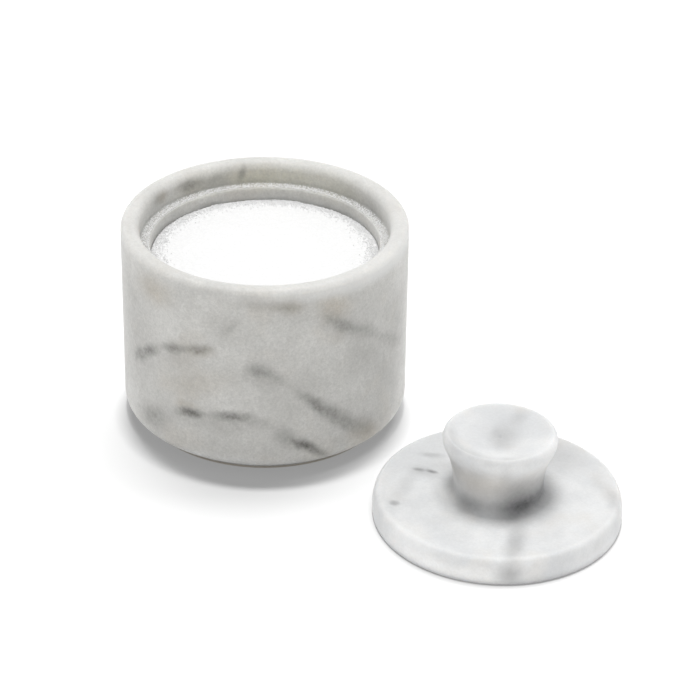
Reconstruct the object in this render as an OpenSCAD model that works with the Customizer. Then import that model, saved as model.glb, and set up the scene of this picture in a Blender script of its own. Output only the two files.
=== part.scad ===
// A turned marble salt cellar filled with salt, with its lid lying beside it on the table.
// Every stone piece is a solid of revolution. The body's axis is the Z axis, the table is z = 0,
// and the lid lies on the +X side. Each outline below runs from the axis, round the piece and back.

/* [Body] */
// Outer diameter of the body
body_d = 108; // [98:1:130]
// Height of the rim above the table
body_h = 80; // [56:1:110]
// Thickness of the wall at the rim
rim_wall = 6.9; // [6.2:0.1:9]
// Radius of the rim's outer edge
rim_outer_r = 2.4; // [1:0.1:3]
// Radius of the rim's inner edge
rim_inner_r = 3.4; // [1:0.1:3.6]
// Radius where the wall turns under at the base
base_edge_r = 6.4; // [2:0.1:6.6]
// Distance that the turned foot is set in from the wall
foot_inset = 6.7; // [6.6:0.1:12]
// Height of the turned foot
foot_h = 2; // [1:0.1:4]

/* [Lid seat] */
// Depth of the seat below the rim
seat_depth = 8.8; // [6:0.1:14]
// Fillet between the seat's wall and the ledge
seat_fillet_r = 0.9; // [0.3:0.1:1.2]
// Width of the ledge that carries the lid
ledge_w = 3.9; // [3.4:0.1:6]
// Eased inner edge of the ledge
ledge_edge_r = 0.5; // [0.2:0.1:0.9]

/* [Salt well] */
// Thickness of stone under the well
floor_t = 9; // [6:0.5:16]
// Fillet round the bottom of the well
well_fillet_r = 8; // [2:0.5:14]

/* [Salt] */
// Distance from the ledge down to the salt at the well's wall
salt_drop = 5.4; // [2:0.1:20]
// Height of the salt's mound over its edge
salt_crown_h = 1.2; // [0.4:0.1:3]
// Clearance between the salt and the well
salt_clearance = 0.2; // [0.1:0.05:0.4]

/* [Lid disc] */
// Radial clearance between the lid and its seat
lid_clearance = 1.5; // [0.5:0.1:1.9]
// Thickness of the disc
disc_t = 10.2; // [7:0.1:14]
// Bulge of the disc's rounded side
disc_crown = 1.4; // [0.4:0.1:1.6]
// Ease of the disc's top and bottom edges
disc_edge_ease = 0.4; // [0.2:0.05:0.6]

/* [Knob] */
// Widest diameter of the knob
knob_d = 41.6; // [36:0.1:48]
// Height of the knob's rim above the disc
knob_h = 25; // [22:0.1:32]
// Distance from the knob's rim down to its widest line
knob_lip_drop = 2.7; // [1.5:0.1:3]
// Radius of the lip above its widest line
knob_rim_r = 3.3; // [3.2:0.1:5]
// Radius of the lip below its widest line
knob_lip_r = 7; // [4:0.1:9]
// Diameter of the waist
waist_d = 32.6; // [26:0.1:34]
// Height of the waist above the disc
waist_h = 3.6; // [3.5:0.1:7]
// Fillet between the waist and the disc
waist_fillet_r = 3; // [1:0.1:3.4]
// Depth of the dish in the knob's top
dish_depth = 2.4; // [1:0.1:5]
// Eased width of the knob's rim
dish_rim_w = 0.5; // [0.2:0.1:1]
// Radius of the lathe's centre mark in the dish
centre_mark_r = 1; // [0.5:0.1:2]
// Depth of the centre mark
centre_mark_depth = 0.4; // [0.2:0.1:0.8]

/* [Base pad] */
// Thickness of the pad glued under the foot
pad_t = 1; // [0.5:0.1:2]
// Distance that the pad is set in from the foot
pad_inset = 0.3; // [0.2:0.1:3]

/* [Layout] */
// Clear distance on the table between the body and the lid
lid_gap = 15; // [8:1:60]

/* [Hidden] */
$fn = 128;
arc_steps = 10;

body_r = body_d / 2;
seat_r = body_r - rim_wall;
well_r = seat_r - ledge_w;
foot_r = body_r - foot_inset;
pad_r = foot_r - pad_inset;
base_z = pad_t + foot_h;
ledge_z = body_h - seat_depth;
well_floor_z = base_z + floor_t;
salt_edge_z = ledge_z - salt_drop;

lid_r = seat_r - lid_clearance;
lid_x = body_r + lid_gap + lid_r;
knob_r = knob_d / 2;
waist_r = waist_d / 2;
knob_top_z = disc_t + knob_h;
lip_z = knob_top_z - knob_lip_drop;
waist_z = disc_t + waist_h;

// Points along an arc about [x, z], from one angle to another
function arc(centre, r, from, to) =
    [for (i = [0 : arc_steps])
        let (a = from + (to - from) * i / arc_steps)
        centre + r * [cos(a), sin(a)]];

// Radius of the circle whose chord of length 2 * half stands off by rise
function chord_radius(half, rise) = (half * half + rise * rise) / (2 * rise);

// Stone body: a foot, a wall turned under at the base, a round rim, the lid's seat and the well
module cellar_body() {
    outer_rim = [body_r - rim_outer_r, body_h - rim_outer_r];
    inner_rim = [seat_r + rim_inner_r, body_h - rim_inner_r];
    base_edge = [body_r - base_edge_r, base_z + base_edge_r];
    seat_corner = [seat_r - seat_fillet_r, ledge_z + seat_fillet_r];
    ledge_edge = [well_r + ledge_edge_r, ledge_z - ledge_edge_r];
    well_corner = [well_r - well_fillet_r, well_floor_z + well_fillet_r];
    outline = concat(
        [[0, pad_t], [foot_r, pad_t], [foot_r, base_z]],
        arc(base_edge, base_edge_r, -90, 0),
        arc(outer_rim, rim_outer_r, 0, 90),
        arc(inner_rim, rim_inner_r, 90, 180),
        arc(seat_corner, seat_fillet_r, 0, -90),
        arc(ledge_edge, ledge_edge_r, 90, 180),
        arc(well_corner, well_fillet_r, 0, -90),
        [[0, well_floor_z]]
    );
    color("gainsboro")
        rotate_extrude()
            polygon(outline);
}

// Thin pad glued under the foot
module base_pad() {
    color("tan")
        cylinder(r = pad_r, h = pad_t);
}

// Salt that fills the well, heaped a little at the middle
module salt() {
    fill_r = well_r - salt_clearance;
    corner_r = well_fillet_r;
    crown_r = chord_radius(fill_r, salt_crown_h);
    crown_centre = [0, salt_edge_z + salt_crown_h - crown_r];
    crown_angle = acos(fill_r / crown_r);
    outline = concat(
        [[0, well_floor_z]],
        arc([fill_r - corner_r, well_floor_z + corner_r], corner_r, -90, 0),
        arc(crown_centre, crown_r, crown_angle, 90)
    );
    color("white")
        rotate_extrude()
            polygon(outline);
}

// Round disc with a bulging side, flat above and below
function disc_side() =
    let (half = disc_t / 2,
         side_r = chord_radius(half, disc_crown),
         centre = [lid_r - side_r, half],
         reach = asin((half - disc_edge_ease) / side_r))
    concat(
        [[lid_r - disc_crown - disc_edge_ease, 0]],
        arc(centre, side_r, -reach, reach),
        [[lid_r - disc_crown - disc_edge_ease, disc_t]]
    );

// Knob from its fillet on the disc, up the waist and round the lip to the rim.
// The neck's hollow curve and the lip's round one meet on one tangent, and the lip's two
// radii meet on its widest line.
function knob_side() =
    let (flare = knob_r - waist_r,
         rise = lip_z - waist_z,
         neck_r = chord_radius(rise, flare) - knob_lip_r,
         tangent = asin(rise / (neck_r + knob_lip_r)),
         rim_angle = asin(knob_lip_drop / knob_rim_r))
    concat(
        arc([waist_r + waist_fillet_r, disc_t + waist_fillet_r], waist_fillet_r, 270, 180),
        arc([waist_r + neck_r, waist_z], neck_r, 180, 180 - tangent),
        arc([knob_r - knob_lip_r, lip_z], knob_lip_r, -tangent, 0),
        arc([knob_r - knob_rim_r, lip_z], knob_rim_r, 0, rim_angle)
    );

// Shallow dish in the knob's top, with the small mark that the lathe's centre left
function knob_dish() =
    let (rim_r = knob_r - knob_rim_r + sqrt(knob_rim_r ^ 2 - knob_lip_drop ^ 2),
         dish_r = rim_r - dish_rim_w,
         ball_r = chord_radius(dish_r, dish_depth),
         ball_z = knob_top_z - dish_depth + ball_r,
         edge = asin(dish_r / ball_r),
         mark = asin(centre_mark_r / ball_r))
    concat(
        arc([0, ball_z], ball_r, edge - 90, mark - 90),
        [[0, knob_top_z - dish_depth - centre_mark_depth]]
    );

// Stone lid, disc and knob turned from one block
module lid() {
    color("whitesmoke")
        translate([lid_x, 0, 0])
            rotate_extrude()
                polygon(concat([[0, 0]], disc_side(), knob_side(), knob_dish()));
}

cellar_body();
base_pad();
salt();
lid();
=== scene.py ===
# %% [markdown]
# A marble salt cellar
# This script dresses the model of a turned marble salt cellar: a round cup filled with salt,
# and the knobbed lid that lies beside it. The solids of the frame give every place and size.
# Each cell makes one piece or one finish, says what it is on the real object, and why it is
# made this way. All lengths are metres unless a name ends in _mm.

# %% Load the frame
import bpy
import bmesh
import math
import random
from mathutils import Matrix, Vector, noise


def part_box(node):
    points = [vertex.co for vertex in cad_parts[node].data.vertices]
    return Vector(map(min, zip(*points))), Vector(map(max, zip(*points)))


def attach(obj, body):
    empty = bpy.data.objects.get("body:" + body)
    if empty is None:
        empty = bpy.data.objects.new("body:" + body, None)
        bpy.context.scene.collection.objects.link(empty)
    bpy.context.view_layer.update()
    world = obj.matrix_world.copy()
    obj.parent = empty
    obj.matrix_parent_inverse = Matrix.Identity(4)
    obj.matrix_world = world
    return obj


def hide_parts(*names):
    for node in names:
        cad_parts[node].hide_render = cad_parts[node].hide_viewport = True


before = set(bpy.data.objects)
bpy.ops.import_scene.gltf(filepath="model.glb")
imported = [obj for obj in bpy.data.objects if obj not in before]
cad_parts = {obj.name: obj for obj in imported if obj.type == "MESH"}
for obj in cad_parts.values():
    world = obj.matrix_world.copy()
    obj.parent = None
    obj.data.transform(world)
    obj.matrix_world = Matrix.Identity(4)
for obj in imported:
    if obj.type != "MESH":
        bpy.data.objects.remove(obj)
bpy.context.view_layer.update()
MM = 0.001

# %% [markdown]
# The camera
# The cellar is seen from a little above, with a long lens that keeps the round pieces nearly
# free of perspective. The camera comes before the pieces, so that each one can be looked at as
# soon as it is made. Its turn is put together from a heading, a tilt down and a small roll,
# because these three are what a photographer sets on a tripod.

# %% Camera
CAMERA_PLACE = Vector((0.6405, -0.7000, 0.5886))
CAMERA_HEADING = math.radians(40.494)
CAMERA_DOWN = math.radians(30.769)
CAMERA_ROLL = math.radians(0.891)
LENS_MM = 147.87

camera = bpy.data.objects.new("camera", bpy.data.cameras.new("camera"))
camera.data.sensor_width = 36
camera.data.lens = LENS_MM
camera.data.clip_start = 0.05
camera.data.clip_end = 30
turn = (
    Matrix.Rotation(CAMERA_HEADING, 4, "Z")
    @ Matrix.Rotation(math.radians(90) - CAMERA_DOWN, 4, "X")
    @ Matrix.Rotation(CAMERA_ROLL, 4, "Z")
)
camera.matrix_world = Matrix.Translation(CAMERA_PLACE) @ turn
bpy.context.scene.collection.objects.link(camera)
bpy.context.scene.camera = camera
print("camera stands", round(CAMERA_PLACE.length, 3), "m from the cup's foot")

# %% [markdown]
# The studio
# A pure white ground like this one is made on a light table: a sheet of opal acrylic that glows
# from below and takes in little light itself, so even full shade on it stays a mid grey. Two
# lamps throw the shadow. They hang far off, so that the shadow doesn't spread. A small one, a
# little behind the cup, gives the crisp crescent in front of the foot. A wide one farther back
# gives the soft fringe round it. The stone itself sits in a white tent with a soft box overhead.
# Light linking keeps the table's lamps off the stone and the soft box off the table, as flags
# and cutters do in a real studio.

# %% Studio table and light
TENT_LIGHT = 0.73
TABLE_GLOW = 0.275
TABLE_TONE = 0.1
TABLE_RADIUS = 5
TABLE_DROP = 0.02 * MM


def light_table():
    bm = bmesh.new()
    bmesh.ops.create_circle(bm, cap_ends=True, segments=96, radius=TABLE_RADIUS)
    bmesh.ops.translate(bm, verts=bm.verts, vec=(0, 0, -TABLE_DROP))
    mesh = bpy.data.meshes.new("light_table")
    bm.to_mesh(mesh)
    bm.free()
    finish = bpy.data.materials.new("opal_acrylic")
    finish.use_nodes = True
    shader = finish.node_tree.nodes["Principled BSDF"]
    shader.inputs["Base Color"].default_value = (TABLE_TONE, TABLE_TONE, TABLE_TONE, 1)
    shader.inputs["Roughness"].default_value = 1
    shader.inputs["Specular IOR Level"].default_value = 0
    shader.inputs["Emission Color"].default_value = (1, 1, 1, 1)
    shader.inputs["Emission Strength"].default_value = TABLE_GLOW
    mesh.materials.append(finish)
    made = bpy.data.objects.new("light_table", mesh)
    bpy.context.scene.collection.objects.link(made)
    return made


def lamp(name, power, width, depth, right, behind, height, table_state):
    """A lamp over the cup. Right and behind are seen from the camera."""
    made = bpy.data.objects.new(name, bpy.data.lights.new(name, "AREA"))
    made.data.shape = "RECTANGLE"
    made.data.size = width
    made.data.size_y = depth
    made.data.energy = power
    away = Matrix.Rotation(CAMERA_HEADING, 3, "Z")
    made.location = away @ Vector((right, behind, height))
    made.rotation_euler.z = CAMERA_HEADING
    bpy.context.scene.collection.objects.link(made)
    lit = bpy.data.collections.new(name + "_reach")
    lit.objects.link(table)
    lit.collection_objects[0].light_linking.link_state = table_state
    made.light_linking.receiver_collection = lit


table = light_table()
lamp("soft_box", 20, 0.66, 0.66, 0, 0.1, 2.0, "EXCLUDE")
lamp("crisp_lamp", 15900, 2.11, 1.0, 0, 1.92, 20, "INCLUDE")
lamp("wide_lamp", 31800, 17.4, 10.4, 2.35, 8.5, 20, "INCLUDE")
tent = bpy.data.worlds.new("tent")
tent.use_nodes = True
tent.node_tree.nodes["Background"].inputs["Color"].default_value = (1, 1, 1, 1)
tent.node_tree.nodes["Background"].inputs["Strength"].default_value = TENT_LIGHT
bpy.context.scene.world = tent
bpy.context.scene.view_settings.view_transform = "Standard"
print("three lamps, of which two light only the table")

# %% [markdown]
# Turning on the lathe
# Both stone pieces are turned, so their shape is one outline swept once round the axis. The
# outline is drawn as a turner draws a template, with straight lines and compass arcs. A line
# extrudes the last point. An arc spins the last point about a centre. Then the whole outline
# is spun about the axis, and doubled points on the axis are merged so that the poles close.

# %% Lathe helpers
TURNS = 192
ARC_STEPS = 12
SMALL_ARC_STEPS = 5
EASE_STEPS = 3
POINT_GAP = 0.001 * MM
SEAM_GAP = 0.002 * MM


def faced_outwards(bm):
    """Turns every face of a closed shape outwards."""
    bmesh.ops.recalc_face_normals(bm, faces=bm.faces)
    if bm.calc_volume(signed=True) < 0:
        bmesh.ops.reverse_faces(bm, faces=bm.faces)
    return bm


class Outline:
    """A turner's template, drawn in the plane of radius and height."""

    def __init__(self, radius, height):
        self.bm = bmesh.new()
        self.tip = self.bm.verts.new((radius, 0, height))

    def line(self, radius, height):
        made = bmesh.ops.extrude_vert_indiv(self.bm, verts=[self.tip])
        self.tip = made["verts"][0]
        self.tip.co = (radius, 0, height)
        return self

    def arc(self, radius, height, degrees, steps=ARC_STEPS):
        made = bmesh.ops.spin(
            self.bm, geom=[self.tip], cent=(radius, 0, height), axis=(0, -1, 0),
            angle=math.radians(degrees), steps=steps,
        )
        self.tip = [v for v in made["geom_last"] if isinstance(v, bmesh.types.BMVert)][0]
        return self

    def turned(self, axis_x=0):
        bm = self.bm
        bmesh.ops.remove_doubles(bm, verts=bm.verts, dist=POINT_GAP)
        bmesh.ops.spin(
            bm, geom=bm.verts[:] + bm.edges[:], cent=(0, 0, 0), axis=(0, 0, 1),
            angle=math.tau, steps=TURNS, use_merge=True,
        )
        bmesh.ops.remove_doubles(bm, verts=bm.verts, dist=SEAM_GAP)
        bmesh.ops.translate(bm, verts=bm.verts, vec=(axis_x, 0, 0))
        return faced_outwards(bm)


def finished_piece(name, bm, finish, sharp_degrees=40):
    """Makes an object of the mesh, smooth except at its sharp corners."""
    volume = bm.calc_volume(signed=True)
    for face in bm.faces:
        face.smooth = True
    mesh = bpy.data.meshes.new(name)
    bm.to_mesh(mesh)
    bm.free()
    mesh.set_sharp_from_angle(angle=math.radians(sharp_degrees))
    mesh.materials.append(finish)
    piece = bpy.data.objects.new(name, mesh)
    bpy.context.scene.collection.objects.link(piece)
    print(name, "has", len(mesh.polygons), "faces and", round(volume * 1e6, 1), "cm3")
    return piece


def chord_radius(half, rise):
    """Radius of the circle whose chord of length 2 * half stands off by rise."""
    return (half * half + rise * rise) / (2 * rise)


# %% [markdown]
# Marble
# Marble is a mass of small crystals that light enters and leaves again, so it looks soft. Its
# veins are thin layers of other minerals that run through the block. Here each vein is a
# flattened ball of shade in the stone, laid along the mark that it leaves on the surface. The
# space that the balls are measured in is first stirred by two noises, so that their edges
# wander as the layers do. Clouds, warm stains and fine crystal grain are noises of their own.
# Everything reads Object coordinates, so a vein runs on round an edge and through the wall.


# %% Node helpers
class Graph:
    """Adds nodes to a material and links them, one short line a node."""

    def __init__(self, name):
        self.material = bpy.data.materials.new(name)
        self.material.use_nodes = True
        self.nodes = self.material.node_tree.nodes
        self.links = self.material.node_tree.links
        self.shader = self.nodes["Principled BSDF"]

    def feed(self, socket, value):
        if isinstance(value, bpy.types.NodeSocket):
            self.links.new(value, socket)
        elif isinstance(value, (tuple, Vector)) and len(socket.default_value) == 4:
            socket.default_value = (*value[:3], 1)
        else:
            socket.default_value = value

    def millimetres(self):
        place = self.nodes.new("ShaderNodeTexCoord").outputs["Object"]
        return self.vector("SCALE", place, scale=1000)

    def vector(self, operation, a, b=None, scale=None):
        node = self.nodes.new("ShaderNodeVectorMath")
        node.operation = operation
        self.feed(node.inputs[0], a)
        if b is not None:
            self.feed(node.inputs[1], b)
        if scale is not None:
            self.feed(node.inputs["Scale"], scale)
        return node.outputs["Value" if operation == "LENGTH" else "Vector"]

    def math(self, operation, a, b=0.5, clamp=False):
        node = self.nodes.new("ShaderNodeMath")
        node.operation = operation
        node.use_clamp = clamp
        self.feed(node.inputs[0], a)
        self.feed(node.inputs[1], b)
        return node.outputs[0]

    def noise(self, place, size_mm, detail=2, roughness=0.5, out="Fac"):
        node = self.nodes.new("ShaderNodeTexNoise")
        self.feed(node.inputs["Vector"], place)
        node.inputs["Scale"].default_value = 1 / size_mm
        node.inputs["Detail"].default_value = detail
        node.inputs["Roughness"].default_value = roughness
        return node.outputs[out]

    def cells(self, place, size_mm, out="Color"):
        node = self.nodes.new("ShaderNodeTexVoronoi")
        self.feed(node.inputs["Vector"], place)
        node.inputs["Scale"].default_value = 1 / size_mm
        return node.outputs[out]

    def spread(self, value, low, high, to_low=0.0, to_high=1.0, smooth=False):
        node = self.nodes.new("ShaderNodeMapRange")
        node.interpolation_type = "SMOOTHSTEP" if smooth else "LINEAR"
        self.feed(node.inputs["Value"], value)
        for name, number in zip(("From Min", "From Max", "To Min", "To Max"),
                                (low, high, to_low, to_high)):
            self.feed(node.inputs[name], number)
        return node.outputs["Result"]

    def mix(self, share, a, b, blend="MIX"):
        node = self.nodes.new("ShaderNodeMix")
        node.data_type = "RGBA"
        node.blend_type = blend
        self.feed(node.inputs["Factor"], share)
        self.feed(node.inputs[6], a)
        self.feed(node.inputs[7], b)
        return node.outputs[2]

    def stirred(self, place, size_mm, reach_mm, detail=2):
        swirl = self.noise(place, size_mm, detail, out="Color")
        swirl = self.vector("SUBTRACT", swirl, Vector((0.5, 0.5, 0.5)))
        return self.vector("ADD", place, self.vector("SCALE", swirl, scale=reach_mm * 2))

    def ball(self, place, centre_mm, half_sizes_mm, turn, depth):
        """Depth at the middle of a flattened ball, falling softly to 0 at its skin."""
        node = self.nodes.new("ShaderNodeMapping")
        node.vector_type = "TEXTURE"
        self.feed(node.inputs["Vector"], place)
        node.inputs["Location"].default_value = centre_mm
        node.inputs["Rotation"].default_value = turn.to_euler()
        node.inputs["Scale"].default_value = half_sizes_mm
        away = self.vector("LENGTH", node.outputs["Vector"])
        return self.spread(away, 0, 1, depth, 0, smooth=True)

    def bump(self, height, strength, distance):
        node = self.nodes.new("ShaderNodeBump")
        node.inputs["Strength"].default_value = strength
        node.inputs["Distance"].default_value = distance
        self.feed(node.inputs["Height"], height)
        self.links.new(node.outputs["Normal"], self.shader.inputs["Normal"])


def on_wall(azimuth, height_mm, tilt, radius_mm, axis_mm=0.0):
    """Centre and turn of a mark on an upright wall: its length runs round, tilted by tilt."""
    a, t = math.radians(azimuth), math.radians(tilt)
    outward = Vector((math.cos(a), math.sin(a), 0))
    round_it = Vector((-math.sin(a), math.cos(a), 0))
    up = Vector((0, 0, 1))
    along = math.cos(t) * round_it + math.sin(t) * up
    across = outward.cross(along)
    turn = Matrix((along, across, outward)).transposed()
    return outward * radius_mm + Vector((axis_mm, 0, height_mm)), turn


# %% [markdown]
# The two stones
# The cup is cut from a warm light grey marble with soft smoky veins, and the lid from a whiter
# and cooler one. Both are honed and waxed, so their gloss is soft. One recipe makes both, with
# its own colours and its own marks for each stone. Rusty marks hold a little iron. The dark marks
# are the veins, with some painted shade among them, and the pale marks are painted light, with
# a little paler stone among the lid's. Veins are broken up by flecks as fine as the crystals.
# Where nobody can see the block's own veins, thin threads stand in for them: the places where a
# slow noise crosses its middle value. The crystal grain is laid on in two sizes. On the thin rim
# the stone is painted paler and its grain covered: a painted glow, as if lit through the stone.


# %% Marble recipe
# Painted glow: the colour the thin rim is painted, paler than the stone, as if lit through it.
RIM_GLOW_TONE = (0.71, 0.713, 0.705)
GRAIN_SHADE = (0.2, 0.2, 0.19)


def marble(name, pale, shade, stain, layers, unseen, painted_glow, stirs, grain, soft_mm, fleck, gloss):
    """Layers are (colour, marks) and marks are (centre, turn, half sizes, depth), in mm."""
    g = Graph(name)
    place = g.millimetres()
    clouds = g.noise(place, 24, detail=4, roughness=0.55)
    stone = g.mix(g.spread(clouds, 0.35, 0.65, smooth=True), pale, shade)
    warm = g.noise(place, 17, detail=2)
    stone = g.mix(g.spread(warm, 0.52, 0.72, 0, 0.6, smooth=True), stone, stain)
    stirred = place
    for size_mm, reach_mm in stirs:
        stirred = g.stirred(stirred, size_mm, reach_mm)
    flecks = g.spread(g.noise(place, 1.5, detail=4, roughness=0.65), 0.3, 0.7, *fleck)
    for colour, marks in layers:
        total = None
        for centre, turn, half_sizes, depth in marks:
            seen = g.ball(stirred, centre, half_sizes, turn, depth)
            total = seen if total is None else g.math("ADD", total, seen)
        total = g.math("MULTIPLY", total, flecks, clamp=True)
        stone = g.mix(total, stone, colour)
    if unseen:
        leaning = g.vector("MULTIPLY", stirred, Vector((1, 1, 1.9)))
        sheet = g.math("ABSOLUTE", g.math("SUBTRACT", g.noise(leaning, 42, detail=3), 0.5))
        thread = g.math("MULTIPLY", g.spread(sheet, 0, 0.04, 0.5, 0, smooth=True), flecks)
        for centre, turn, half_sizes, depth in unseen:
            where = g.math("MULTIPLY", g.ball(place, centre, half_sizes, turn, depth), thread)
            stone = g.mix(where, stone, layers[-1][0])
    mottle = g.noise(place, 2.6, detail=3, roughness=0.6)
    stone = g.mix(g.spread(mottle, 0.3, 0.7, 0, grain * 0.45), stone, GRAIN_SHADE)
    crystals = g.noise(place, 0.9, detail=3, roughness=0.75)
    stone = g.mix(g.spread(crystals, 0.3, 0.7, 0, grain), stone, GRAIN_SHADE)
    # Painted glow: these balls paint the stone paler and cover its grain.
    for centre, turn, half_sizes, depth in painted_glow:
        stone = g.mix(g.ball(place, centre, half_sizes, turn, depth), stone, RIM_GLOW_TONE)
    g.feed(g.shader.inputs["Base Color"], stone)
    sheen = g.noise(place, 2.5, detail=3)
    g.feed(g.shader.inputs["Roughness"], g.spread(sheen, 0.3, 0.7, *gloss))
    g.shader.inputs["Specular IOR Level"].default_value = 0.25
    g.shader.inputs["Subsurface Weight"].default_value = 1
    g.shader.inputs["Subsurface Radius"].default_value = (1.0, 0.95, 0.9)
    g.shader.inputs["Subsurface Scale"].default_value = soft_mm * MM
    g.bump(g.noise(place, 0.7, detail=3), 0.06, 0.3 * MM)
    return g.material


# %% [markdown]
# The cup's marks
# Most veins run down to the right across the front. Each row is one stroke: its place round the
# cup in degrees, its height, how it tilts, its half length, half width and depth of colour. A
# vein is a few short dark dashes inside a long faint one, and two rows among them are painted
# shade on the cup's left and right sides. Rusty stone has a list of its own, and so has painted
# light. So has the seat inside the rim, because its wall cuts the block nearer to the axis.
# The wall of the well is shaded just over the salt, where little light comes out of the stone.
# The back gets threads, and the thin rim is painted paler, a painted glow as if lit through it.

# %% Cup marks
CUP_RADIUS_MM = 54
SEAT_RADIUS_MM = 46.5
CUP_VEINS_AND_PAINTED_SHADE = [
    (-107, 38, 35, 10, 4.4, 0.4), (-99, 43.4, 31, 8, 3.8, 0.56), (-86.5, 49.4, 17, 9, 3.6, 0.56),
    (-85, 47, 17, 13, 8, 0.2), (-74.5, 52.2, 13, 9, 3.4, 0.56),
    (-61.5, 63.7, 48, 9, 3.2, 0.22),
    (-50, 47, -12, 8, 4.2, 0.46), (-49.5, 43.5, -14, 12, 7, 0.2), (-42, 42.8, -30, 9, 4, 0.2),
    (-33, 35.4, -44, 8, 3.4, 0.24), (-28.4, 31, -46, 8, 4.2, 0.48), (-23, 26.6, -46, 10, 5, 0.5),
    (-15.6, 20.6, -40, 11, 5.4, 0.46), (-6, 14.4, -32, 13, 6, 0.34),
    (-98, 15, 20, 17, 9, 0.46), (-78.4, 24, 9, 9.5, 3.1, 0.78), (-78, 22.6, 9, 12, 6, 0.2),
    (-61, 26.2, 6, 11, 3.4, 0.56), (-60, 23.6, 4, 15, 8, 0.26), (-49.5, 24, -16, 9, 5, 0.22),
    (-39, 17.4, -38, 9, 5.5, 0.4), (-33, 13.4, -32, 7, 3.6, 0.7), (-27.5, 9.8, -35, 8, 3.2, 0.66),
    (-22.6, 7, -35, 6, 3, 0.2),
    (-50, 74.6, -8, 11, 5, 0.24), (-39, 73.2, -6, 9, 4.2, 0.3), (-66, 79, 0, 20, 6, 0.26),
    (-15.6, 61.2, -34, 13, 4.4, 0.36), (-15, 60.5, -30, 17, 9, 0.2), (-22, 66, -36, 8, 6, 0.14),
    (-5, 55.4, -30, 12, 5, 0.2), (10, 46, -33, 24, 4.8, 0.26),
    # The last two rows here are painted shade that darkens the cup's left and right sides.
    (0, 40, -50, 22, 13, 0.2), (-109, 46, 0, 22, 46, 0.3), (17, 43, 0, 17, 31, 0.2),
]
CUP_RUST = [
    (-74, 51.5, 13, 9, 4, 0.36), (-77, 37, 18, 24, 9, 0.24), (-80, 27, 8, 8, 3, 0.3),
    (-20, 70, -20, 12, 8, 0.44), (-38, 73.4, -6, 9, 5, 0.36), (-4, 11, -25, 14, 7, 0.34),
    (-97, 70, 10, 15, 9, 0.4),
]
# Painted light: the first row paints the middle of the front paler. The others paint the foot's
# turned-under edge pale, a painted reflection of the bright table, where the stone would darken
# towards the shade under the cup.
CUP_PAINTED_LIGHT = [
    (-48, 55, 0, 16, 10, 0.16), (-82, 4.4, 10, 15, 4, 1.0), (-62, 3, 0, 24, 7.8, 0.9),
    (-43, 3, 0, 18, 6.5, 0.8),
]
SEAT_VEINS = [
    (-168, 77, 8, 8, 5, 0.4), (171, 75.4, 6, 10, 5, 0.62), (157, 74.4, -4, 10, 5, 0.38),
    (143, 76, -70, 6, 2.6, 0.55), (85, 74, 0, 15, 7, 0.2), (68, 73.4, 0, 14, 7, 0.24),
]
SEAT_KHAKI = [(131, 74, 0, 30, 8, 0.6), (162, 74, 0, 26, 8, 0.3), (98, 74, 0, 26, 8, 0.4)]
SEAT_RUST = [(-171, 76, 8, 6, 4, 0.5), (171, 75, 6, 9, 5, 0.2)]
WELL_SHADE = [
    (162, 66, 0, 52, 8, 0.3), (-160, 66, 0, 36, 6, 0.3), (165, 66.4, 0, 34, 2.4, 0.5),
    (-165, 66.4, 0, 24, 2.4, 0.6),
]
BACK_SIDE = [(85, 40, 0, 62, 46, 1.0), (-172, 34, 0, 34, 34, 0.8)]
# Painted glow: the rim all round, and the shoulder on the right, are painted paler as if lit
# through the thin stone.
THIN_RIM_GLOW = [
    (Vector((0, 0, 83)), Matrix.Identity(3), (160, 160, 9.5), 0.54),
    (Vector((52, 4, 76.8)), Matrix.Identity(3), (80, 80, 5), 0.66),
]


def cup_marks(strokes, radius_mm=CUP_RADIUS_MM, reach_mm=9):
    marks = []
    for azimuth, height, tilt, half_length, half_width, depth in strokes:
        centre, turn = on_wall(azimuth, height, tilt, radius_mm)
        marks.append((centre, turn, (half_length, half_width, reach_mm), depth))
    return marks


cup_layers = [
    # The first layer is painted light, not paler stone.
    ((0.86, 0.86, 0.85), cup_marks(CUP_PAINTED_LIGHT, reach_mm=6)),
    ((0.42, 0.35, 0.25), cup_marks(CUP_RUST) + cup_marks(SEAT_RUST, SEAT_RADIUS_MM, 6)),
    ((0.68, 0.66, 0.53), cup_marks(SEAT_KHAKI, SEAT_RADIUS_MM, 6)),
    ((0.12, 0.115, 0.105),
     cup_marks(CUP_VEINS_AND_PAINTED_SHADE) + cup_marks(SEAT_VEINS + WELL_SHADE, SEAT_RADIUS_MM, 5)),
]
cup_stone = marble(
    "cup_marble", pale=(0.7, 0.694, 0.669), shade=(0.606, 0.6, 0.576), stain=(0.635, 0.612, 0.57),
    layers=cup_layers, unseen=cup_marks(BACK_SIDE, reach_mm=30), painted_glow=THIN_RIM_GLOW,
    stirs=((9, 1.3), (2.5, 0.6)), grain=0.3, soft_mm=5, fleck=(0.66, 1.2), gloss=(0.4, 0.55),
)
print("the cup has", sum(len(marks) for _, marks in cup_layers), "marks")

# %% [markdown]
# The cup
# The cup is one block of marble. From the table up it has a small foot, a wall that turns under
# at the base, a round rim, a seat with a ledge that carries the lid, and the well for the salt.

# %% Cup
body_low, body_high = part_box("cellar_body")
CUP_R = min(-body_low.x, -body_low.y, body_high.x, body_high.y)
CUP_TOP = body_high.z
RIM_WALL = 6.9 * MM
RIM_OUTER_R = 2.4 * MM
RIM_INNER_R = 3.4 * MM
BASE_EDGE_R = 6.4 * MM
FOOT_INSET = 6.7 * MM
FOOT_H = 2 * MM
FOOT_EASE = 0.3 * MM
SEAT_DEPTH = 8.8 * MM
SEAT_FILLET = 0.9 * MM
LEDGE_W = 3.9 * MM
LEDGE_EDGE = 0.5 * MM
WELL_FLOOR = 9 * MM
WELL_FILLET = 8 * MM

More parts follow.
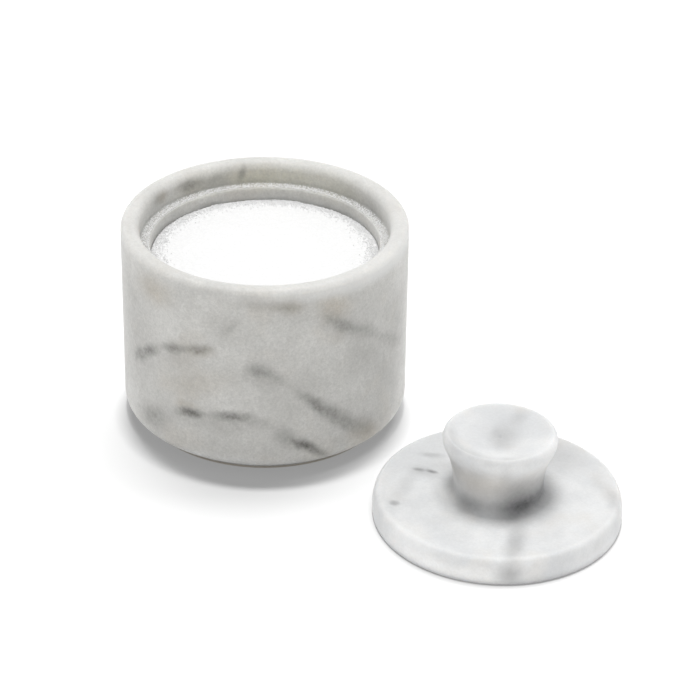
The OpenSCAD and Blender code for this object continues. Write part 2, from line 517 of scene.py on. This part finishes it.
foot_bottom = body_low.z
foot_top = foot_bottom + FOOT_H
seat_r = CUP_R - RIM_WALL
well_r = seat_r - LEDGE_W
ledge_z = CUP_TOP - SEAT_DEPTH
well_floor_z = foot_top + WELL_FLOOR

cup = (
    Outline(0, foot_bottom)
    .line(CUP_R - FOOT_INSET - FOOT_EASE, foot_bottom)
    .arc(CUP_R - FOOT_INSET - FOOT_EASE, foot_bottom + FOOT_EASE, 90, EASE_STEPS)
    .line(CUP_R - FOOT_INSET, foot_top)
    .line(CUP_R - BASE_EDGE_R, foot_top)
    .arc(CUP_R - BASE_EDGE_R, foot_top + BASE_EDGE_R, 90)
    .line(CUP_R, CUP_TOP - RIM_OUTER_R)
    .arc(CUP_R - RIM_OUTER_R, CUP_TOP - RIM_OUTER_R, 90)
    .line(seat_r + RIM_INNER_R, CUP_TOP)
    .arc(seat_r + RIM_INNER_R, CUP_TOP - RIM_INNER_R, 90)
    .line(seat_r, ledge_z + SEAT_FILLET)
    .arc(seat_r - SEAT_FILLET, ledge_z + SEAT_FILLET, -90, SMALL_ARC_STEPS)
    .line(well_r + LEDGE_EDGE, ledge_z)
    .arc(well_r + LEDGE_EDGE, ledge_z - LEDGE_EDGE, 90, SMALL_ARC_STEPS)
    .line(well_r, well_floor_z + WELL_FILLET)
    .arc(well_r - WELL_FILLET, well_floor_z + WELL_FILLET, -90)
    .line(0, well_floor_z)
)
cup_piece = finished_piece("marble_cup", cup.turned(), cup_stone)
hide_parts("cellar_body")
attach(cup_piece, "cellar")

# %% [markdown]
# The lid's marks
# The lid's one strong vein is a layer that stands on edge in the block. It shows in the knob's
# dish, darkens the neck, and runs over the disc and down its side. Round the neck's foot, under
# the lip, the stone is also painted darker: painted shade. A row gives a mark's place from the
# lid's axis, its heading, its half sizes along, across and upright, and its depth.

# %% Lid marks
lid_low, lid_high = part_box("lid")
LID_X = (lid_low.x + lid_high.x) / 2
LID_VEINS_AND_PAINTED_SHADE = [
    (14, -3, 15, 88, (18, 7.8, 24), 0.55), (15, -4, 13, 84, (10, 4, 8), 0.1),
    # The two rows centred on the axis, at heights 16 and 12.6 mm, are painted shade all round the
    # neck's foot, under the lip; so is the row at (0, -17.5, 13) in front of it.
    (12.5, 7.5, 16, 105, (11, 6, 11), 0.36), (0, 0, 16, 0, (34, 34, 16), 0.4),
    (0, 0, 12.6, 0, (26, 26, 7), 0.68),
    (3, -19, 28, 0, (14, 6, 8), 0.2), (0, -17.5, 13, 0, (12, 4, 5), 0.2),
    (-13, -11, 13, -48, (9, 4, 7), 0.12), (-8, -14, 25, 30, (18, 14, 13), 0.3),
    (-11.4, -14.6, 35.2, -38, (15, 5, 4), 0.24), (1.3, -18.4, 35.2, 4, (15, 5, 4), 0.22),
    (13.4, -12.8, 35.2, 46, (15, 5, 4), 0.22), (-8, -17, 27, -25, (10, 6, 9), 0.18),
    (12.4, -12.9, 30, 44, (4.4, 5, 7), 0.2),
    (20, -14, 10.2, -52, (11, 7, 4), 0.16), (25, -20, 10.2, -50, (10, 6, 4), 0.26),
    (28, -27, 10.2, -52, (11, 6, 4), 0.3), (31.5, -32.5, 4, -45, (7, 8, 7), 0.44),
    (0, 3, 33, -62, (17, 10, 5), 0.18), (-3.2, 1.5, 32.8, -60, (4.4, 3, 3), 0.1),
    (-2.5, 14.5, 34, -72, (8, 5, 4), 0.16), (3.4, -2.6, 33, -40, (13, 8, 4), 0.18),
    (-29.6, -9.3, 10.2, 20, (3.8, 1.7, 3), 0.36), (-25.2, -7, 10.2, 12, (3.4, 1.7, 3), 0.54),
    (-27.5, -9, 10.2, 10, (9, 5, 4), 0.24), (-27, -20, 10.2, -72, (16, 5, 4), 0.18),
    (-22.2, -31.8, 10.2, -10, (3.4, 2.4, 3), 0.46), (-32.4, 1.8, 10.2, 36, (7.5, 2.6, 3), 0.3),
    (-24, 0, 10.2, 40, (13, 7, 4), 0.13),
    (2, 33, 10.2, 0, (22, 20, 5), 0.32), (26, 27.4, 10.2, -35, (12, 5, 4), 0.14),
    (36, 23, 10.2, -40, (12, 5, 4), 0.26), (-28, -33, 6, -30, (26, 20, 9), 0.17),
    (42, 4, 7, 85, (26, 8, 6), 0.14),
]
# Pale stone and painted light. The two large rows low on the disc's side paint it paler, as if it
# glowed through the thin stone, and the last row paints light into the shade at the neck's foot.
LID_PALE_AND_PAINTED_LIGHT = [
    (11.3, -17.3, 21, -50, (4, 5, 9), 0.2), (12, -26, 10.2, -50, (12, 6, 5), 0.3),
    (18, -40, 2, 20, (36, 10, 7), 1.0), (-8, -43, 3, -10, (28, 9, 7), 0.45),
    (-11, -14.5, 10.4, -37, (13, 5, 4), 1.0),
]
LID_RUST = [
    (4, -17, 24, 10, (22, 9, 11), 0.2), (0, 0, 22, 0, (44, 44, 13), 0.26),
    (20, -40, 1, 20, (22, 6, 4), 0.06),
]


def lid_marks(strokes):
    marks = []
    for x, y, z, heading, half_sizes, depth in strokes:
        turn = Matrix.Rotation(math.radians(heading), 3, "Z")
        marks.append((Vector((LID_X / MM + x, y, z)), turn, half_sizes, depth))
    return marks


lid_layers = [
    # The first layer is pale stone and painted light.
    ((0.96, 0.96, 0.95), lid_marks(LID_PALE_AND_PAINTED_LIGHT)),
    ((0.5, 0.43, 0.33), lid_marks(LID_RUST)),
    ((0.13, 0.13, 0.135), lid_marks(LID_VEINS_AND_PAINTED_SHADE)),
]
lid_stone = marble(
    "lid_marble", pale=(0.782, 0.787, 0.788), shade=(0.686, 0.695, 0.702),
    stain=(0.75, 0.738, 0.718), layers=lid_layers, unseen=[], painted_glow=[],
    stirs=((9, 1.2), (2.5, 0.5)), grain=0.1, soft_mm=4, fleck=(0.92, 1.06), gloss=(0.45, 0.6),
)
print("the lid has", sum(len(marks) for _, marks in lid_layers), "marks")

# %% [markdown]
# The lid
# Disc and knob are turned from one block. The disc's side is nearly upright below and rounded
# above. The knob has a hollow neck that runs into a round lip, and a shallow dish on top. At
# the middle of the dish is the small hollow that the lathe's centre left.

# %% Lid
DISC_T = 10.2 * MM
DISC_WIDEST_Z = 4.8 * MM
DISC_UNDERCUT = 0.3 * MM
DISC_UPPER_R = 10 * MM
DISC_EDGE_R = 1.9 * MM
KNOB_R = 20.8 * MM
LIP_DROP = 2.7 * MM
KNOB_RIM_R = 3.3 * MM
LIP_R = 7 * MM
WAIST_R = 16.5 * MM
WAIST_H = 3.6 * MM
WAIST_FILLET = 3 * MM
DISH_DEPTH = 2.4 * MM
DISH_RIM_W = 0.5 * MM
CENTRE_MARK_R = 1 * MM
CENTRE_MARK_DEPTH = 0.4 * MM
EDGE_STEPS = 6
DISH_STEPS = 16

lid_r = (lid_high.x - lid_low.x) / 2
knob_top = lid_high.z
lip_z = knob_top - LIP_DROP
waist_z = DISC_T + WAIST_H
under_r = chord_radius(DISC_WIDEST_Z, DISC_UNDERCUT)
under_turn = math.degrees(math.asin(DISC_WIDEST_Z / under_r))
edge_z = DISC_T - DISC_EDGE_R
upper_turn = math.asin((edge_z - DISC_WIDEST_Z) / (DISC_UPPER_R - DISC_EDGE_R))
edge_x = lid_r - (DISC_UPPER_R - DISC_EDGE_R) * (1 - math.cos(upper_turn)) - DISC_EDGE_R
upper_turn = math.degrees(upper_turn)
flare = KNOB_R - WAIST_R
rise = lip_z - waist_z
neck_r = chord_radius(rise, flare) - LIP_R
tangent = math.asin(rise / (neck_r + LIP_R))
rim_angle = math.asin(LIP_DROP / KNOB_RIM_R)
rim_top_r = KNOB_R - KNOB_RIM_R + KNOB_RIM_R * math.cos(rim_angle)
dish_r = rim_top_r - DISH_RIM_W
ball_r = chord_radius(dish_r, DISH_DEPTH)
dish_angle = math.asin(dish_r / ball_r)
mark_angle = math.asin(CENTRE_MARK_R / ball_r)

lid = (
    Outline(0, 0)
    .line(lid_r - DISC_UNDERCUT, 0)
    .arc(lid_r - under_r, DISC_WIDEST_Z, under_turn)
    .arc(lid_r - DISC_UPPER_R, DISC_WIDEST_Z, upper_turn)
    .arc(edge_x, edge_z, 90 - upper_turn, EDGE_STEPS)
    .line(WAIST_R + WAIST_FILLET, DISC_T)
    .arc(WAIST_R + WAIST_FILLET, DISC_T + WAIST_FILLET, -90)
    .line(WAIST_R, waist_z)
    .arc(WAIST_R + neck_r, waist_z, -math.degrees(tangent))
    .arc(KNOB_R - LIP_R, lip_z, math.degrees(tangent))
    .arc(KNOB_R - KNOB_RIM_R, lip_z, math.degrees(rim_angle))
    .line(dish_r, knob_top)
    .arc(0, knob_top - DISH_DEPTH + ball_r, -math.degrees(dish_angle - mark_angle), DISH_STEPS)
    .line(0, knob_top - DISH_DEPTH - CENTRE_MARK_DEPTH)
)
lid_piece = finished_piece("marble_lid", lid.turned(LID_X), lid_stone)
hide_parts("lid")
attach(lid_piece, "lid")

# %% [markdown]
# The pad
# A thin felt pad is glued under the foot, so that the stone doesn't scratch the table.

# %% Pad
pad_low, pad_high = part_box("base_pad")
PAD_EDGE = 0.3 * MM


def felt():
    g = Graph("pad_felt")
    place = g.millimetres()
    fibres = g.noise(place, 0.5, detail=4, roughness=0.8)
    g.feed(g.shader.inputs["Base Color"], g.mix(fibres, (0.3, 0.27, 0.23), (0.5, 0.46, 0.4)))
    g.shader.inputs["Roughness"].default_value = 0.95
    g.bump(fibres, 0.5, 0.3 * MM)
    return g.material


pad = (
    Outline(0, 0)
    .line(pad_high.x - PAD_EDGE, 0)
    .arc(pad_high.x - PAD_EDGE, PAD_EDGE, 90, 4)
    .line(pad_high.x, pad_high.z - PAD_EDGE)
    .arc(pad_high.x - PAD_EDGE, pad_high.z - PAD_EDGE, 90, 4)
    .line(0, pad_high.z)
)
pad_piece = finished_piece("felt_pad", pad.turned(), felt())
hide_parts("base_pad")
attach(pad_piece, "cellar")

# %% [markdown]
# The salt
# Fine salt fills the well to a few millimetres below the ledge, heaped a little at the middle
# and rough all over. A fine square grid is trimmed to the well's circle, its outermost points
# are drawn onto the circle, and every point is lifted by the heap, some slow waves and two
# grains, one as large as the crystals and one as large as small clumps. Near the wall the salt
# lies looser. The edge is then drawn down and in to the bottom of the well, and closed.

# %% Salt heap
salt_low, salt_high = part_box("salt")
SALT_R = salt_high.x
HEAP_H = 1.2 * MM
GRID = 0.34 * MM
SALT_EDGE_Z = salt_high.z - HEAP_H
CROWN_SHARE = 0.8
WAVE_SPAN = 14 * MM
FINE_SPAN = 0.55 * MM
COARSE_SPAN = 1.3 * MM
LOOSE_FROM = 0.86
LOOSER = 0.7
WELL_TAPER = 0.82


def salt_height(x, y):
    """Height of the salt over the table, without its grain."""
    from_middle = min(1.0, math.hypot(x, y) / SALT_R)
    slow = noise.noise(Vector((x, y, 0)) / WAVE_SPAN) * 0.5 * MM
    crown = HEAP_H * (1 - from_middle**2) * CROWN_SHARE
    return SALT_EDGE_Z + crown + slow * (0.4 + 0.6 * from_middle)


def salt_finish(name, dull, bright, roughness):
    g = Graph(name)
    place = g.millimetres()
    sparkle = g.cells(place, 0.5)
    g.feed(g.shader.inputs["Base Color"], g.mix(sparkle, dull, bright))
    g.shader.inputs["Roughness"].default_value = roughness
    g.bump(g.noise(place, 0.4, detail=3), 0.2, 0.1 * MM)
    return g.material


def salt_heap():
    bm = bmesh.new()
    count = int(2 * SALT_R / GRID) + 2
    bmesh.ops.create_grid(bm, x_segments=count, y_segments=count, size=count * GRID / 2)
    outside = [f for f in bm.faces if all(v.co.length > SALT_R for v in f.verts)]
    bmesh.ops.delete(bm, geom=outside, context="FACES")
    for v in bm.verts:
        if v.co.length > SALT_R:
            v.co = v.co.normalized() * SALT_R
    for v in bm.verts:
        x, y, _ = v.co
        near_wall = max(0.0, (math.hypot(x, y) / SALT_R - LOOSE_FROM) / (1 - LOOSE_FROM))
        rough = 1 + LOOSER * near_wall
        grain = noise.noise(Vector((x, y, 0.02)) / FINE_SPAN) * 0.12 * MM * rough
        grain += noise.noise(Vector((x, y, 0.05)) / COARSE_SPAN) * 0.14 * MM * rough
        v.co.z = min(salt_height(x, y) + grain, salt_high.z)
    rim = [e for e in bm.edges if e.is_boundary]
    wall = bmesh.ops.extrude_edge_only(bm, edges=rim)["geom"]
    low_verts = [v for v in wall if isinstance(v, bmesh.types.BMVert)]
    for v in low_verts:
        v.co.z = salt_low.z
        v.co.xy = v.co.xy * WELL_TAPER
    bmesh.ops.contextual_create(bm, geom=[e for e in wall if isinstance(e, bmesh.types.BMEdge)])
    return faced_outwards(bm)


salt_white = salt_finish("salt_white", (0.8, 0.8, 0.8), (0.86, 0.86, 0.86), 0.6)
salt_piece = finished_piece("salt_heap", salt_heap(), salt_white)
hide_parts("salt")
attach(salt_piece, "cellar")

# %% [markdown]
# Loose grains
# Salt crystals are little cubes. Single ones lie on the heap, most of them near its edge, and
# some were spilled on the ledge. They are one mesh of small turned cubes, so each grain costs
# six faces. The draw is seeded, so every run strews them alike.

# %% Grains
GRAINS_ON_HEAP = 6000
GRAINS_ON_LEDGE = 5200
HEAP_GRAIN_MM = (0.2, 0.36)
LEDGE_GRAIN_MM = (0.15, 0.3)
EDGE_DRIFT_MM = 2.4
HANDFUL = 150
strew = random.Random(7)


def grain_place(on_heap, size):
    around = strew.uniform(0, math.tau)
    if on_heap:
        r = SALT_R - size * 0.6 - abs(strew.gauss(0, EDGE_DRIFT_MM)) * MM
        x, y = r * math.cos(around), r * math.sin(around)
        return Vector((x, y, salt_height(x, y) + strew.uniform(0, 0.35) * MM))
    inner, outer = well_r + LEDGE_EDGE, seat_r - 0.3 * MM
    r = inner + (outer - inner) * strew.random() ** 1.3
    return Vector((r * math.cos(around), r * math.sin(around), ledge_z + size * 0.4))


def handful(count, on_heap):
    bm = bmesh.new()
    for _ in range(count):
        size = strew.uniform(*(HEAP_GRAIN_MM if on_heap else LEDGE_GRAIN_MM)) * MM
        tumble = Vector((strew.uniform(-1, 1), strew.uniform(-1, 1), strew.uniform(-1, 1)))
        turn = Matrix.Rotation(strew.uniform(0, math.tau), 4, tumble.normalized())
        place = Matrix.Translation(grain_place(on_heap, size))
        bmesh.ops.create_cube(bm, size=size, matrix=place @ turn)
    return bm


def salt_grains():
    bm = bmesh.new()
    for total, on_heap in ((GRAINS_ON_HEAP, True), (GRAINS_ON_LEDGE, False)):
        for start in range(0, total, HANDFUL):
            pinch = bpy.data.meshes.new("pinch")
            few = handful(min(HANDFUL, total - start), on_heap)
            few.to_mesh(pinch)
            few.free()
            bm.from_mesh(pinch)
            bpy.data.meshes.remove(pinch)
    return bm


salt_crystal = salt_finish("salt_crystal", (0.81, 0.81, 0.81), (0.93, 0.93, 0.93), 0.3)
grain_piece = finished_piece("salt_grains", salt_grains(), salt_crystal, 20)
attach(grain_piece, "cellar")
